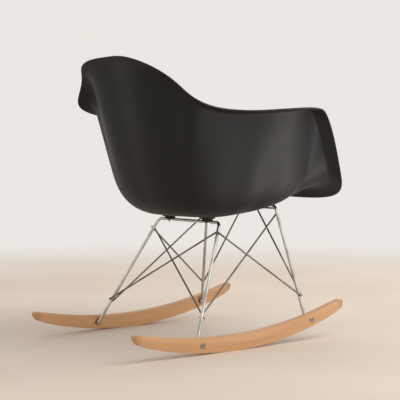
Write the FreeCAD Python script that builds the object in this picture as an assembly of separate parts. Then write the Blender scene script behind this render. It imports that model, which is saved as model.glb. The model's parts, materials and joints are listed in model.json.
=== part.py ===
"""A moulded plastic rocking chair on a bent rod base with two wooden rockers.

The chair faces -Y. X is the sitter's left, Z is up, and the floor is z = 0. The origin lies on
the floor under the middle of the rockers' ends. Lengths are millimetres and angles are degrees.
"""
import os

import FreeCAD
import Part
from FreeCAD import Vector
from math import acos, asin, cos, degrees, hypot, pi, radians, sin, sqrt

# Rockers: two bent lengths of beech, thickest in the middle
ROCKER_LENGTH = 690.0
ROCKER_RADIUS = 1023.0
ROCKER_DEPTH_MIDDLE = 40.0
ROCKER_DEPTH_END = 27.0
ROCKER_WIDTH = 22.0
ROCKER_SPACING = 495.0
ROCKER_EDGE_BEVEL = 2.2
NOSE_ROUND_SHARE = 0.46
REST_LEAN = 2.84

# Bent rods of the base
ROD = 8.5
WIRE = 4.8
BEND_RADIUS = 16.0
REAR_FOOT_Y = 147.0
FRONT_FOOT_Y = -224.0
REAR_TOP_Y = 1.0
FRONT_TOP_Y = -183.0
REAR_TOP_HALF = 139.0
FRONT_TOP_HALF = 151.0
REAR_BAR_Z = 320.0

# Where the wires meet the legs, as heights above the floor
REAR_LOW_Z = 88.0
REAR_HIGH_Z = 292.0
FRONT_LOW_Z = 117.0
FRONT_HIGH_BELOW_BAR = 24.0
SPREADER_BELOW_BAR = 11.0
SPREADER_REACH = 38.0
SPREADER_HALF = 105.0
SPREADER_BEND = 12.0
SPREADER_END_GAP = 1.0
FRONT_WIRE_HALF = 32.0
WIRE_PAST_LEG = 7.0
WELD_GAP = 0.1

# Leg ends and rocker bolts
BOSS_DIAMETER = 14.0
BOSS_LENGTH = 9.0
BOSS_CAP = 2.0
BOSS_RECESS_DIAMETER = 22.0
BOSS_RECESS_DEPTH = 2.5
BOLT_DIAMETER = 6.0
BOLT_FLANGE_DIAMETER = 15.0
BOLT_FLANGE_THICKNESS = 1.2
BOLT_HEAD_DIAMETER = 11.0
BOLT_HEAD_HEIGHT = 3.0
BOLT_SOCKET_ACROSS = 4.0
BOLT_SOCKET_DEPTH = 2.2
BOLT_RECESS_DIAMETER = 16.0
BOLT_RECESS_DEPTH = 3.2
BOLT_REACH = 6.0
FIT_GAP = 0.15

# Shock mounts
REAR_MOUNT_HALF = 86.0
FRONT_MOUNT_HALF = 96.0
MOUNT_TOP_DIAMETER = 42.0
MOUNT_FOOT_DIAMETER = 30.0
MOUNT_HEIGHT = 9.0
MOUNT_FLANGE = 3.0
MOUNT_SHELL_GAP = 0.2
PAD_LENGTH = 38.0
PAD_WIDTH = 16.0
PAD_THICKNESS = 5.0
PAD_OVERLAP = 3.0
SCREW_FLANGE_DIAMETER = 15.0
SCREW_FLANGE_THICKNESS = 1.5
SCREW_DIAMETER = 5.0
SCREW_HEAD_ACROSS = 9.0
SCREW_HEAD_HEIGHT = 3.5
SCREW_REACH = 5.0

# Seat shell
SHELL_WALL = 5.0
LIP_ROUND_SHARE = 0.3
SEAT_Y = 12.0
SEAT_Z = 336.0
SEAT_FLAT_RADIUS = 28.0
FOOT_HALF = 196.0
FOOT_BACK = 137.0
FOOT_FRONT = 263.0
FOOT_SQUARENESS = 2.6
SEAT_RISE_FRONT = 66.0
SEAT_RISE_SIDE = 5.0
SEAT_RISE_BACK = 32.0
SEAT_RISE_POWER = 1.7
CURVE_LIMIT = 0.45
SEAT_CURVE_LIMIT = 0.9
NET_AROUND = 40
FOOT_STEPS = 5
WALL_STEPS = 3
ROLL_STEPS = 4
POLE_TURNS = 24

# Edge of the shell from the middle of the front to the middle of the back, on the sitter's right
EDGE_STATIONS = (
    ("front", 0.0, -347.0, 383.0),
    ("front corner", -211.0, -370.0, 398.0),
    ("arm rises", -269.0, -318.0, 456.0),
    ("arm front", -293.0, -240.0, 611.0),
    ("arm turns back", -321.0, -187.0, 622.0),
    ("arm", -305.0, -9.0, 613.0),
    ("arm back", -277.0, 129.0, 620.0),
    ("arm ends", -277.0, 185.0, 637.0),
    ("shoulder", -240.0, 194.0, 660.0),
    ("back side", -199.0, 226.0, 703.0),
    ("back corner", -111.0, 267.0, 744.0),
    ("back", 0.0, 267.0, 754.0),
)

# Section by direction from the seat's middle, 0 to the front and 180 to the back: how far the
# edge stands out past the wall's top, how far it hangs below it, and the reach of the curves at
# the wall's top and foot
SECTION_STATIONS = (
    (0.0, 22.0, 34.0, 16.0, 60.0),
    (35.0, 14.0, 27.0, 18.0, 58.0),
    (70.0, 38.0, 4.0, 17.0, 70.0),
    (100.0, 38.0, 5.0, 20.0, 85.0),
    (124.0, 48.0, 13.0, 26.0, 89.0),
    (148.0, 24.0, -6.0, 40.0, 100.0),
    (180.0, 20.0, -5.0, 40.0, 100.0),
)

# Fineness of the facets that the box is measured on
EXPORT_STEP = 0.05

ALONG_X = Vector(1, 0, 0)
UP = Vector(0, 0, 1)


def cylinder(start, direction, diameter, length):
    return Part.makeCylinder(diameter / 2, length, start, direction)


def swept_rod(points, bend, diameter):
    """A round rod along straight runs joined by tangent arcs of the bend radius."""
    edges = []
    start = points[0]
    for before, corner, after in zip(points, points[1:], points[2:]):
        into = (before - corner).normalize()
        out = (after - corner).normalize()
        half_angle = into.getAngle(out) / 2
        tangent = bend / (sin(half_angle) / cos(half_angle))
        middle = (into + out).normalize() * (bend / sin(half_angle) - bend)
        edges.append(Part.LineSegment(start, corner + into * tangent).toShape())
        arc = Part.Arc(corner + into * tangent, corner + middle, corner + out * tangent)
        edges.append(arc.toShape())
        start = corner + out * tangent
    edges.append(Part.LineSegment(start, points[-1]).toShape())
    circle = Part.makeCircle(diameter / 2, points[0], points[1] - points[0])
    section = Part.Face(Part.Wire([circle]))
    return Part.Wire(edges).makePipe(section)


def point_at_height(low, high, z):
    return low + (high - low) * ((z - low.z) / (high.z - low.z))


# Rockers

def rest_contact_y():
    return ROCKER_RADIUS * sin(radians(REST_LEAN))


def rocker_top_radius():
    half = ROCKER_LENGTH / 2
    drop = ROCKER_RADIUS - sqrt(ROCKER_RADIUS**2 - half**2)
    rise = drop + ROCKER_DEPTH_END - ROCKER_DEPTH_MIDDLE
    return (half**2 + rise**2) / (2 * rise)


def bolt_place(side, foot_y):
    """Middle of the rocker's stock where a leg is bolted on."""
    lean = radians(REST_LEAN)
    along = asin((foot_y - rest_contact_y()) / ROCKER_RADIUS) + lean
    y = ROCKER_RADIUS * sin(along)
    bottom = ROCKER_RADIUS - sqrt(ROCKER_RADIUS**2 - y**2)
    top_radius = rocker_top_radius()
    top = ROCKER_DEPTH_MIDDLE + top_radius - sqrt(top_radius**2 - y**2)
    place = Vector(side * ROCKER_SPACING / 2, y, (bottom + top) / 2)
    return leaned(place)


def leaned(place):
    """A point of the level rocker, turned back to where it is when the chair rests."""
    lean = radians(REST_LEAN)
    up = ROCKER_RADIUS - place.z
    back = rest_contact_y()
    return Vector(place.x, back + place.y * cos(lean) - up * sin(lean),
                  ROCKER_RADIUS - place.y * sin(lean) - up * cos(lean))


def rocker(side):
    half = ROCKER_LENGTH / 2
    top_radius = rocker_top_radius()
    inner = side * (ROCKER_SPACING - ROCKER_WIDTH) / 2
    outer = side * (ROCKER_SPACING + ROCKER_WIDTH) / 2
    start_x = min(inner, outer)

    def bottom(y):
        return Vector(start_x, y, ROCKER_RADIUS - sqrt(ROCKER_RADIUS**2 - y**2))

    def top(y):
        return Vector(start_x, y, ROCKER_DEPTH_MIDDLE + top_radius - sqrt(top_radius**2 - y**2))

    edges = [
        Part.Arc(bottom(-half), bottom(0), bottom(half)).toShape(),
        Part.LineSegment(bottom(half), top(half)).toShape(),
        Part.Arc(top(half), top(0), top(-half)).toShape(),
        Part.LineSegment(top(-half), bottom(-half)).toShape(),
    ]
    blank = Part.Face(Part.Wire(edges)).extrude(Vector(ROCKER_WIDTH, 0, 0))
    corners = [edge for edge in blank.Edges if edge.BoundBox.XLength > ROCKER_WIDTH / 2]
    blank = blank.makeFillet(ROCKER_DEPTH_END * NOSE_ROUND_SHARE, corners)
    rims = [edge for edge in blank.Edges if edge.BoundBox.XLength < ROCKER_WIDTH / 2]
    blank = blank.makeChamfer(ROCKER_EDGE_BEVEL, rims)
    blank.rotate(Vector(0, 0, ROCKER_RADIUS), ALONG_X, -REST_LEAN)
    blank.translate(Vector(0, rest_contact_y(), 0))
    for foot_y in (REAR_FOOT_Y, FRONT_FOOT_Y):
        blank = blank.cut(rocker_holes(side, foot_y))
    return blank


def rocker_holes(side, foot_y):
    """Bolt hole with a round recess at each face."""
    place = bolt_place(side, foot_y)
    inner = Vector(side * (ROCKER_SPACING - ROCKER_WIDTH) / 2, place.y, place.z)
    outer = Vector(side * (ROCKER_SPACING + ROCKER_WIDTH) / 2, place.y, place.z)
    outward = ALONG_X * side
    shank = cylinder(inner, outward, BOLT_DIAMETER + 2 * FIT_GAP, ROCKER_WIDTH)
    inner_recess = cylinder(inner, outward, BOSS_RECESS_DIAMETER, BOSS_RECESS_DEPTH)
    outer_recess = cylinder(outer, outward * -1, BOLT_RECESS_DIAMETER, BOLT_RECESS_DEPTH)
    return shank.fuse([inner_recess, outer_recess])


# Leg ends and bolts

def boss_seat(side, foot_y):
    """Middle of the boss's flat face, on the floor of the rocker's inner recess."""
    place = bolt_place(side, foot_y)
    x = side * ((ROCKER_SPACING - ROCKER_WIDTH) / 2 + BOSS_RECESS_DEPTH)
    return Vector(x, place.y, place.z)


def leg_end(side, foot_y):
    """Centre of the boss, where the leg's centre line ends."""
    return boss_seat(side, foot_y) - ALONG_X * side * (BOSS_RECESS_DEPTH + BOSS_LENGTH / 2)


def leg_boss(side, foot_y):
    """Round boss with a stepped cap on its inner end, drilled for the bolt."""
    seat = boss_seat(side, foot_y)
    inward = ALONG_X * -side
    hole = cylinder(seat, inward, BOLT_DIAMETER + 2 * FIT_GAP, BOLT_REACH + FIT_GAP)
    return boss_blank(side, foot_y).cut(hole)


def boss_blank(side, foot_y):
    seat = boss_seat(side, foot_y)
    inward = ALONG_X * -side
    length = BOSS_RECESS_DEPTH + BOSS_LENGTH
    body = cylinder(seat, inward, BOSS_DIAMETER, length - BOSS_CAP)
    cap = cylinder(seat + inward * (length - BOSS_CAP), inward, BOSS_DIAMETER - 2 * BOSS_CAP, BOSS_CAP)
    return body.fuse(cap)


def rocker_bolt(side, foot_y):
    """Socket screw with a flange under its round head, seated in the rocker's outer recess."""
    place = bolt_place(side, foot_y)
    outward = ALONG_X * side
    recess_x = (ROCKER_SPACING + ROCKER_WIDTH) / 2 - BOLT_RECESS_DEPTH
    seat = Vector(side * recess_x, place.y, place.z)
    flange = cylinder(seat, outward, BOLT_FLANGE_DIAMETER, BOLT_FLANGE_THICKNESS)
    head_start = seat + outward * BOLT_FLANGE_THICKNESS
    head = cylinder(head_start, outward, BOLT_HEAD_DIAMETER, BOLT_HEAD_HEIGHT)
    socket_start = head_start + outward * (BOLT_HEAD_HEIGHT - BOLT_SOCKET_DEPTH)
    socket = hexagon_prism(socket_start, outward, BOLT_SOCKET_ACROSS, BOLT_SOCKET_DEPTH)
    length = abs(seat.x - boss_seat(side, foot_y).x) + BOLT_REACH
    shank = cylinder(seat, outward * -1, BOLT_DIAMETER, length)
    return shank.fuse([flange, head]).cut(socket)


def hexagon_prism(start, direction, across, depth):
    radius = across / 2 / cos(pi / 6)
    prism = Part.Face(Part.makePolygon([
        Vector(radius * cos(k * pi / 3), radius * sin(k * pi / 3), 0) for k in range(7)
    ])).extrude(UP * depth)
    prism.Placement = FreeCAD.Placement(start, FreeCAD.Rotation(UP, direction))
    return prism


# Bent rod frames

def front_bar_z(shell):
    """The front crossbar hangs its mounts' height below the shell."""
    underside = underside_z(shell, FRONT_MOUNT_HALF, FRONT_TOP_Y)
    return underside - MOUNT_HEIGHT - PAD_THICKNESS / 2


def frame_points(foot_y, top_half, top_y, bar_z):
    return [
        leg_end(-1, foot_y),
        Vector(-top_half, top_y, bar_z),
        Vector(top_half, top_y, bar_z),
        leg_end(1, foot_y),
    ]


def leg_frame(foot_y, top_half, top_y, bar_z, mount_half):
    """One bent rod: a leg, the crossbar with two flattened pads, and the other leg."""
    frame = swept_rod(frame_points(foot_y, top_half, top_y, bar_z), BEND_RADIUS, ROD)
    for x in (-mount_half, mount_half):
        frame = frame.cut(pad_room(x, top_y, bar_z)).fuse(mount_pad(x, top_y, bar_z))
    for side in (-1, 1):
        frame = frame.cut(boss_blank(side, foot_y))
    return frame


def mount_pad(x, y, z):
    """Where the rod is pressed flat and wide, with a hole for the mount's screw."""
    pad = Part.makeBox(PAD_LENGTH, PAD_WIDTH, PAD_THICKNESS,
                       Vector(x - PAD_LENGTH / 2, y - PAD_WIDTH / 2, z - PAD_THICKNESS / 2))
    uprights = [edge for edge in pad.Edges if edge.BoundBox.ZLength > PAD_THICKNESS / 2]
    pad = pad.makeChamfer(PAD_WIDTH * 0.25, uprights)
    hole_start = Vector(x, y, z - PAD_THICKNESS)
    return pad.cut(cylinder(hole_start, UP, SCREW_DIAMETER + 2 * FIT_GAP, 2 * PAD_THICKNESS))


def pad_room(x, y, z):
    """The length of round rod that the pad takes the place of."""
    room = PAD_LENGTH - 2 * PAD_OVERLAP
    return Part.makeBox(room, 2 * ROD, 2 * ROD, Vector(x - room / 2, y - ROD, z - ROD))


# Shock mounts

def underside_z(shell, x, y):
    """Height of the shell's underside above the point x, y."""
    probe = Part.LineSegment(Vector(x, y, 0), Vector(x, y, SEAT_Z + 4 * SEAT_RISE_FRONT)).toShape()
    return min(vertex.Z for vertex in probe.common(shell).Vertexes)


def underside_normal(shell, x, y):
    """Square to the shell's underside at x, y, found from three heights."""
    step = MOUNT_TOP_DIAMETER / 3
    rise_x = underside_z(shell, x + step, y) - underside_z(shell, x - step, y)
    rise_y = underside_z(shell, x, y + step) - underside_z(shell, x, y - step)
    return Vector(-rise_x, -rise_y, 2 * step).normalize()


def shock_mount(shell, x, y, bar_z):
    """Rubber puck: a narrower foot on the pad and a flange cut along the shell's slope."""
    base = Vector(x, y, bar_z + PAD_THICKNESS / 2)
    flange_start = base + UP * (MOUNT_HEIGHT - MOUNT_FLANGE)
    foot = cylinder(base, UP, MOUNT_FOOT_DIAMETER, MOUNT_HEIGHT - MOUNT_FLANGE)
    flange = cylinder(flange_start, UP, MOUNT_TOP_DIAMETER, 2 * MOUNT_HEIGHT)
    hole = cylinder(base, UP, SCREW_DIAMETER + 2 * FIT_GAP, SCREW_REACH + FIT_GAP)
    return foot.fuse(flange).cut(hole).cut(room_above_slope(shell, x, y))


def room_above_slope(shell, x, y):
    """A block whose floor lies along the shell's underside at x, y, a gap below it."""
    slope = underside_normal(shell, x, y)
    size = 3 * MOUNT_TOP_DIAMETER
    block = Part.makeBox(size, size, size, Vector(-size / 2, -size / 2, 0))
    start = Vector(x, y, underside_z(shell, x, y)) - slope * MOUNT_SHELL_GAP
    block.Placement = FreeCAD.Placement(start, FreeCAD.Rotation(UP, slope))
    return block


def mount_screw(x, y, bar_z):
    """Flanged screw from below the pad into the rubber."""
    seat = Vector(x, y, bar_z - PAD_THICKNESS / 2)
    down = UP * -1
    flange = cylinder(seat, down, SCREW_FLANGE_DIAMETER, SCREW_FLANGE_THICKNESS)
    head_start = seat + down * SCREW_FLANGE_THICKNESS
    head = hexagon_prism(head_start, down, SCREW_HEAD_ACROSS, SCREW_HEAD_HEIGHT)
    shank = cylinder(seat, UP, SCREW_DIAMETER, PAD_THICKNESS + SCREW_REACH)
    return shank.fuse([flange, head])


# Brace wires

def lapped_wire(low_rod, low_z, high_rod, high_z, side):
    """A straight wire welded against two rods, on one side of both."""
    low = point_at_height(low_rod[0], low_rod[1], low_z)
    high = point_at_height(high_rod[0], high_rod[1], high_z)
    along = (high - low).normalize()
    reach = (ROD + WIRE) / 2 + WELD_GAP
    low_out = along.cross(low_rod[1] - low_rod[0]).normalize() * (side * reach)
    high_out = along.cross(high_rod[1] - high_rod[0]).normalize() * (side * reach)
    start = low + low_out - along * WIRE_PAST_LEG
    end = high + high_out + along * WIRE_PAST_LEG
    return cylinder(start, end - start, WIRE, (end - start).Length)


def leg_line(side, foot_y, top_half, top_y, bar_z):
    return (leg_end(side, foot_y), Vector(side * top_half, top_y, bar_z))


def spreader_points(front_leg):
    """The front spreader leaves one leg, bends forward and crosses to the other leg."""
    z = front_leg[1].z - SPREADER_BELOW_BAR
    at_leg = point_at_height(front_leg[0], front_leg[1], z)
    leg_axis = Vector(abs(at_leg.x), at_leg.y, z)
    turn = Vector(SPREADER_HALF, at_leg.y - SPREADER_REACH, z)
    end = leg_axis + (turn - leg_axis).normalize() * (ROD / 2 + SPREADER_END_GAP)
    return [Vector(-end.x, end.y, end.z), Vector(-turn.x, turn.y, turn.z), turn, end]


def front_spreader(front_leg):
    return swept_rod(spreader_points(front_leg), SPREADER_BEND, WIRE)


def front_wire(side, front_leg):
    """From a front leg up to the spreader, lapped on the back of it."""
    low = point_at_height(front_leg[0], front_leg[1], FRONT_LOW_Z)
    spreader = spreader_points(front_leg)[1]
    target = Vector(side * FRONT_WIRE_HALF, spreader.y, spreader.z)
    along = (target - low).normalize()
    low_out = along.cross(front_leg[1] - front_leg[0]).normalize() * ((ROD + WIRE) / 2 + WELD_GAP)
    if low_out.y > 0:
        low_out = low_out * -1
    high_out = along.cross(ALONG_X).normalize() * (WIRE + WELD_GAP)
    if high_out.y < 0:
        high_out = high_out * -1
    start = low + low_out - along * WIRE_PAST_LEG
    end = target + high_out + along * WIRE_PAST_LEG * 0.5
    return cylinder(start, end - start, WIRE, (end - start).Length)


# Seat shell

def edge_curve_points():
    """Points at even spacing round the shell's edge, from the middle of the front."""
    stations = [Vector(x, y, z) for name, x, y, z in EDGE_STATIONS]
    walked = [0.0]
    for station, following in zip(stations, stations[1:]):
        walked.append(walked[-1] + station.distanceToPoint(following))
    curve = Part.BSplineCurve()
    curve.interpolate(Points=stations, Parameters=walked, Scale=False,
                      InitialTangent=ALONG_X * -1, FinalTangent=ALONG_X)
    right = curve.discretize(Number=NET_AROUND // 2 + 1)
    return right + [Vector(-point.x, point.y, point.z) for point in reversed(right[1:-1])]


def section_sizes(direction):
    """Edge width, edge hang, top curve and foot curve in one direction, eased between the stations."""
    for (angle, *sizes), (next_angle, *next_sizes) in zip(SECTION_STATIONS, SECTION_STATIONS[1:]):
        if direction <= next_angle:
            part = (direction - angle) / (next_angle - angle)
            ease = part * part * (3 - 2 * part)
            return [size + (following - size) * ease for size, following in zip(sizes, next_sizes)]
    return SECTION_STATIONS[-1][1:]


def seat_rise(out_x, out_y):
    """How far the seat stands above its lowest point, at a plan distance from the middle."""
    side = SEAT_RISE_SIDE * (out_x / FOOT_HALF)**2
    if out_y < 0:
        return side + SEAT_RISE_FRONT * (-out_y / FOOT_FRONT)**SEAT_RISE_POWER
    return side + SEAT_RISE_BACK * (out_y / FOOT_BACK)**2


def foot_reach(out_x, out_y):
    """Distance from the seat's middle to the foot of the wall, along a unit direction."""
    length = FOOT_FRONT if out_y < 0 else FOOT_BACK
    squared = (abs(out_x) / FOOT_HALF)**FOOT_SQUARENESS + (abs(out_y) / length)**FOOT_SQUARENESS
    return squared**(-1 / FOOT_SQUARENESS)


def section_points(edge):
    """One section from the seat's middle out to an edge point, as reach and height pairs."""
    out_x = edge.x
    out_y = edge.y - SEAT_Y
    reach = hypot(out_x, out_y)
    out_x /= reach
    out_y /= reach
    width, hang, top_curve, foot_curve = section_sizes(degrees(acos(-out_y)))
    foot = foot_reach(out_x, out_y)
    edge_point = Vector(reach, 0, edge.z - SEAT_Z)
    wall_top = edge_point + Vector(-width, 0, hang)
    foot_point = Vector(foot, 0, seat_rise(foot * out_x, foot * out_y))
    seat_point = Vector(foot / 2, 0, seat_rise(foot / 2 * out_x, foot / 2 * out_y))
    seat_run = foot_point - seat_point
    wall = wall_top - foot_point
    foot_curve = min(foot_curve, CURVE_LIMIT * wall.Length)
    top_curve = min(top_curve, CURVE_LIMIT * wall.Length)
    wall_way = wall.normalize()
    foot_start = foot_point - seat_run * min(foot_curve / seat_run.Length, SEAT_CURVE_LIMIT)
    foot_end = foot_point + wall_way * foot_curve
    roll_start = wall_top - wall_way * top_curve
    seat = [Vector(SEAT_FLAT_RADIUS, 0, 0), seat_point]
    rise = [foot_end + (roll_start - foot_end) * (k / WALL_STEPS) for k in range(1, WALL_STEPS)]
    return (seat + curved_steps(foot_start, foot_point, foot_end, FOOT_STEPS) + rise
            + curved_steps(roll_start, wall_top, edge_point, ROLL_STEPS))


def curved_steps(start, corner, end, steps):
    """Points along a parabola that leaves its start and reaches its end along the two lines."""
    points = []
    for k in range(steps + 1):
        part = k / steps
        points.append(start * (1 - part)**2 + corner * (2 * part * (1 - part)) + end * part**2)
    return points


def offset_section(section, distance):
    """The section moved square to itself, down and outwards. Its flat start stays level."""
    moved = []
    for k, point in enumerate(section):
        before = section[max(k - 1, 0)]
        after = section[min(k + 1, len(section) - 1)]
        way = (after - before).normalize()
        square = Vector(way.z, 0, -way.x) if k > 0 else Vector(0, 0, -1)
        moved.append(point + square * distance)
    return moved


def shell_rows(distance):
    """Control points of one face of the shell, a row for each step of the section."""
    columns = []
    for edge in edge_curve_points():
        out = Vector(edge.x, edge.y - SEAT_Y, 0).normalize()
        section = offset_section(section_points(edge), distance)
        columns.append([Vector(out.x * p.x, SEAT_Y + out.y * p.x, SEAT_Z + p.z) for p in section])
    return [list(row) for row in zip(*columns)]


def ring_curve(row):
    """A smooth closed curve through a ring of points."""
    poles = row
    for turn in range(POLE_TURNS):
        neighbours = zip(row, poles[-1:] + poles[:-1], poles[1:] + poles[:1])
        poles = [(point * 6 - before - after) * 0.25 for point, before, after in neighbours]
    knots = [float(k) for k in range(len(row) + 1)]
    curve = Part.BSplineCurve()
    curve.buildFromPolesMultsKnots(poles, [1] * len(knots), knots, True, 3)
    return curve


def ring_face(row, next_row):
    """A closed ruled band between two smooth rings."""
    curve = ring_curve(row)
    poles = [curve.getPoles(), ring_curve(next_row).getPoles()]
    surface = Part.BSplineSurface()
    surface.buildFromPolesMultsKnots(poles, [2, 2], curve.getMultiplicities(), [0, 1], curve.getKnots(),
                                     False, True, 1, 3)
    return surface.toShape()


def ruled_faces(rows):
    return [ring_face(row, next_row) for row, next_row in zip(rows, rows[1:])]


def seat_disc(row):
    """The flat round middle that closes a face of the shell."""
    return Part.Face(Part.Wire([ring_curve(row).toShape()]))


def rounded_lip(inner_rows, outer_rows):
    """Rows that carry the inner face round the edge to the outer face."""
    inner_turn = []
    outer_turn = []
    for inner, inner_before, outer in zip(inner_rows[-1], inner_rows[-2], outer_rows[-1]):
        way = (inner - inner_before).normalize()
        across = outer - inner
        out = way * (across.Length * LIP_ROUND_SHARE)
        inner_turn.append(inner + across * LIP_ROUND_SHARE + out)
        outer_turn.append(outer - across * LIP_ROUND_SHARE + out)
    return [inner_rows[-1], inner_turn, outer_turn, outer_rows[-1]]


def seat_shell():
    inner_rows = shell_rows(0.0)
    outer_rows = shell_rows(SHELL_WALL)
    faces = []
    for rows in (inner_rows, outer_rows):
        faces.append(seat_disc(rows[0]))
        faces.extend(ruled_faces(rows))
    faces.extend(ruled_faces(rounded_lip(inner_rows, outer_rows)))
    shell = Part.makeShell(faces)
    shell.sewShape()
    solid = Part.makeSolid(shell)
    if solid.Volume < 0:
        solid.reverse()
    return solid


# Whole chair

def side_name(side):
    return "left" if side > 0 else "right"


def build():
    pieces = {}
    shell = seat_shell()
    pieces["seat_shell"] = shell
    bar_z = front_bar_z(shell)
    front_high_z = bar_z - FRONT_HIGH_BELOW_BAR
    rear = (REAR_FOOT_Y, REAR_TOP_HALF, REAR_TOP_Y, REAR_BAR_Z)
    front = (FRONT_FOOT_Y, FRONT_TOP_HALF, FRONT_TOP_Y, bar_z)
    frames = {
        "rear": leg_frame(*rear, REAR_MOUNT_HALF),
        "front": leg_frame(*front, FRONT_MOUNT_HALF),
    }
    pieces["rear_leg_frame"] = frames["rear"]
    pieces["front_leg_frame"] = frames["front"]
    pieces["front_spreader"] = front_spreader(leg_line(1, *front))
    for side in (-1, 1):
        name = side_name(side)
        rear_leg = leg_line(side, *rear)
        front_leg = leg_line(side, *front)
        pieces["rocker_" + name] = rocker(side)
        pieces["side_wire_forward_" + name] = lapped_wire(front_leg, FRONT_LOW_Z, rear_leg, REAR_HIGH_Z, side)
        pieces["side_wire_back_" + name] = lapped_wire(rear_leg, REAR_LOW_Z, front_leg, front_high_z, side)
        other_leg = leg_line(-side, *rear)
        pieces["back_wire_" + name] = lapped_wire(rear_leg, REAR_LOW_Z, other_leg, REAR_HIGH_Z, 1)
        pieces["front_wire_" + name] = front_wire(side, front_leg)
        for end, foot_y in (("rear", REAR_FOOT_Y), ("front", FRONT_FOOT_Y)):
            pieces["leg_boss_%s_%s" % (end, name)] = leg_boss(side, foot_y)
            pieces["rocker_bolt_%s_%s" % (end, name)] = rocker_bolt(side, foot_y)
        for end, half, y, z in (("rear", REAR_MOUNT_HALF, REAR_TOP_Y, REAR_BAR_Z),
                                ("front", FRONT_MOUNT_HALF, FRONT_TOP_Y, bar_z)):
            x = side * half
            pieces["shock_mount_%s_%s" % (end, name)] = shock_mount(shell, x, y, z)
            pieces["mount_screw_%s_%s" % (end, name)] = mount_screw(x, y, z)
    return pieces


def export(pieces):
    """Centre the box over the origin and write each piece."""
    os.makedirs("parts", exist_ok=True)
    front = min(point.y for point in pieces["seat_shell"].tessellate(EXPORT_STEP)[0])
    back = max(point.y for point in pieces["rocker_left"].tessellate(EXPORT_STEP)[0])
    shift = Vector(0, -(front + back) / 2, 0)
    for name, shape in pieces.items():
        moved = shape.copy()
        moved.translate(shift)
        moved.exportStep("parts/%s.step" % name)


def main():
    pieces = build()
    export(pieces)
    for name, shape in pieces.items():
        box = shape.BoundBox
        print("%-26s valid %s solids %d volume %.0f z %.1f to %.1f" % (
            name, shape.isValid(), len(shape.Solids), shape.Volume, box.ZMin, box.ZMax))


main()
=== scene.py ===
"""The finished look of a moulded plastic rocking chair: smooth shell, bent rods and lacquered rockers."""

import json
from math import acos, atan2, cos, degrees, hypot, pi, radians, sin, sqrt, tan

import bmesh
import bpy
import numpy as np
from mathutils import Matrix, Vector


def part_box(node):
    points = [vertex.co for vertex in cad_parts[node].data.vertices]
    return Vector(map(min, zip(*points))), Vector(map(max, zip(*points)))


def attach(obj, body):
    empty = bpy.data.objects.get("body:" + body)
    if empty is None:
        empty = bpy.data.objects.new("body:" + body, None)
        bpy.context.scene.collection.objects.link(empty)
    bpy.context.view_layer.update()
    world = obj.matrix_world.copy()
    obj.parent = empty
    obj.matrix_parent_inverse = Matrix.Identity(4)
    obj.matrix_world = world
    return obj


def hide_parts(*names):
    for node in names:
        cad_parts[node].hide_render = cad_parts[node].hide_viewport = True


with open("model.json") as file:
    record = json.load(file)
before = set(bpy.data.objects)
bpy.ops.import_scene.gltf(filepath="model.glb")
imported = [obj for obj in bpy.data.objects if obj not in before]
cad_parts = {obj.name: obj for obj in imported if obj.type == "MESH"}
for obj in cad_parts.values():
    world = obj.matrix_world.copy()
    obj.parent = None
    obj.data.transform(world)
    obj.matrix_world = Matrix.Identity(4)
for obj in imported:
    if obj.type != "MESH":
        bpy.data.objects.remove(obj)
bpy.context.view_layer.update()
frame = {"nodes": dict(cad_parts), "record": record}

UP = Vector((0, 0, 1))
ALONG_X = Vector((1, 0, 0))

# The line where the rockers touch the floor, and how far they lean back from level
TOUCH_Y = frame["record"]["mounts"][0]["pos_m"][1]
REST_LEAN = radians(2.84)

# Camera, placed from the line where the rockers touch the floor
CAMERA_X = -2.34296
CAMERA_BEHIND = 1.69134
CAMERA_Z = 0.48675
CAMERA_YAW = 0.920656
CAMERA_PITCH = 0.0378283
CAMERA_LENS = 95.36
CAMERA_SENSOR = 36.0

# Rockers
ROCKER_LENGTH = 0.689
ROCKER_RADIUS = 1.023
ROCKER_DEPTH_MIDDLE = 0.040
ROCKER_DEPTH_END = 0.027
ROCKER_WIDTH = 0.022
ROCKER_SPACING = 0.495
ROCKER_EDGE_ROUND = 0.0028
ROCKER_RUNS = 32
NOSE_LENGTH = 0.045
NOSE_LIFT = 0.006
NOSE_DROP = 0.003
NOSE_END_RUN = 0.013
NOSE_REACH_LOW = 0.0115
NOSE_REACH_TOP = 0.0070
NOSE_SEGMENTS = 8
MIDDLE_TO_TOUCH = ROCKER_RADIUS * sin(REST_LEAN)

# Bent rods
ROD = 0.0085
WIRE = 0.0048
BEND_RADIUS = 0.016
REAR_TOP_HALF = 0.139
FRONT_TOP_HALF = 0.151
REAR_LOW_Z = 0.088
REAR_HIGH_Z = 0.292
FRONT_LOW_Z = 0.117
FRONT_HIGH_BELOW_BAR = 0.024
SPREADER_BELOW_BAR = 0.011
SPREADER_REACH = 0.038
SPREADER_HALF = 0.105
SPREADER_BEND = 0.012
FRONT_WIRE_HALF = 0.032
WIRE_PAST_LEG = 0.0035
WIRE_END_ROUND = 0.0007
WELD_GAP = 0.0001
WELD_SIZE = (0.0026, 0.0026, 0.0052)
ROD_SIDES = 28
WIRE_SIDES = 20
BEND_STEPS = 12
ROD_STEP = 0.004
WIRE_STEP = 0.05
PAD_LENGTH = 0.038
PAD_WIDTH = 0.016
PAD_THICKNESS = 0.005
PAD_EASE = 0.008

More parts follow.
